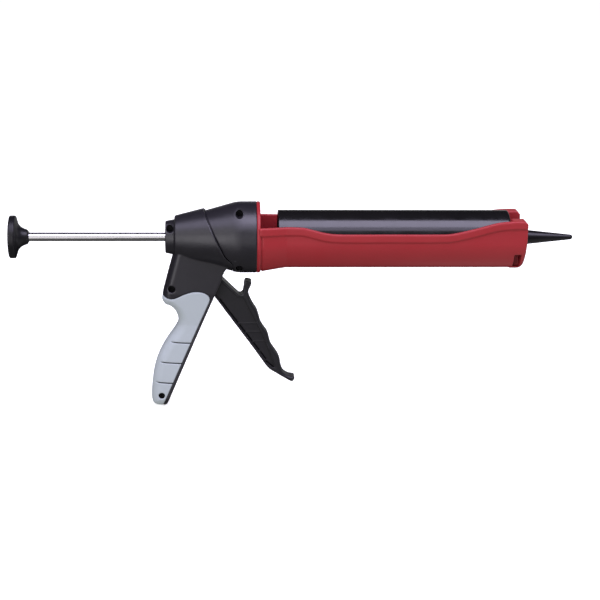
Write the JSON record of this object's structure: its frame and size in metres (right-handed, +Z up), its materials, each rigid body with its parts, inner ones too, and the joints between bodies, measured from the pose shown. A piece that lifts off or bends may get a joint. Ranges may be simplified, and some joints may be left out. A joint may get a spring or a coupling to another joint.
{
  "type": "caulking gun",
  "caption": "Half-shell cartridge gun with push rod, knob, squeeze trigger, soft grip and turning cradle, loaded with a cartridge and nozzle.",
  "frame": {"origin": "on the push rod's axis, where the collar's front face meets the cradle's flange", "axes": "+X along the push rod towards the nozzle, +Z up and away from the handle, +Y to the gun's left"},
  "size_m": [0.5174, 0.0656, 0.1922],
  "materials": {
    "housing_plastic": "satin glass-filled nylon, near black",
    "trigger_plastic": "satin glass-filled nylon, black",
    "knob_plastic": "satin moulded plastic, black",
    "soft_grip": "matte soft elastomer, light bluish grey",
    "red_plastic": "satin moulded plastic, dark red",
    "cartridge_plastic": "semi-gloss extruded tube, black",
    "nozzle_plastic": "semi-gloss moulded plastic, black",
    "piston_plastic": "plain polyethylene, off white",
    "chromed_rod": "bright drawn steel",
    "hardened_steel": "oiled hardened steel",
    "spring_steel": "drawn spring wire",
    "zinc_steel": "zinc-plated steel",
    "brass": "turned brass",
    "blackened_steel": "blackened steel"
  },
  "bodies": {
    "housing": {"housing_left": "housing_plastic", "housing_right": "housing_plastic", "grip_left": "soft_grip", "grip_right": "soft_grip", "nose_left": "housing_plastic", "nose_right": "housing_plastic", "housing_screws": "blackened_steel", "nose_screws": "blackened_steel", "trigger_pin": "zinc_steel", "drive_spring": "spring_steel", "lock_spring": "spring_steel", "rear_bush": "brass", "front_bush": "brass"},
    "trigger": {"trigger": "trigger_plastic", "trigger_roller": "zinc_steel"},
    "drive": {"drive_plates": "hardened_steel"},
    "lock": {"lock_plate": "hardened_steel"},
    "rod": {"push_rod": "chromed_rod", "knob": "knob_plastic", "plunger_plate": "zinc_steel", "plunger_washer": "zinc_steel", "plunger_nut": "zinc_steel"},
    "cradle": {"cradle": "red_plastic", "cartridge_tube": "cartridge_plastic", "nozzle": "nozzle_plastic"},
    "piston": {"cartridge_piston": "piston_plastic"}
  },
  "joints": [
    {"name": "trigger_pull", "type": "hinge", "parent": "housing", "child": "trigger", "pos_m": [-0.047, 0, -0.021], "axis": [0, 1, 0], "range_deg": [-3, 27], "stiffness_Nm_per_rad": 1.5},
    {"name": "drive_slide", "type": "slide", "parent": "housing", "child": "drive", "axis": [1, 0, 0], "range_m": [-0.0006, 0.0045], "deforming": ["drive_spring"]},
    {"name": "lock_tilt", "type": "hinge", "parent": "housing", "child": "lock", "pos_m": [-0.0648, 0, 0.0155], "axis": [0, 1, 0], "range_deg": [0, 4], "stiffness_Nm_per_rad": 0.5, "springref_deg": -2.86, "deforming": ["lock_spring"]},
    {"name": "rod_slide", "type": "slide", "parent": "housing", "child": "rod", "axis": [1, 0, 0], "range_m": [-0.088, 0.123]},
    {"name": "cradle_spin", "type": "hinge", "parent": "housing", "child": "cradle", "pos_m": [0, 0, 0], "axis": [1, 0, 0], "continuous": true},
    {"name": "piston_slide", "type": "slide", "parent": "cradle", "child": "piston", "axis": [1, 0, 0], "range_m": [-0.1, 0]}
  ],
  "couplings": [
    {"joint": "drive_slide", "follows": "trigger_pull", "m_per_rad": 0.009116}
  ]
}
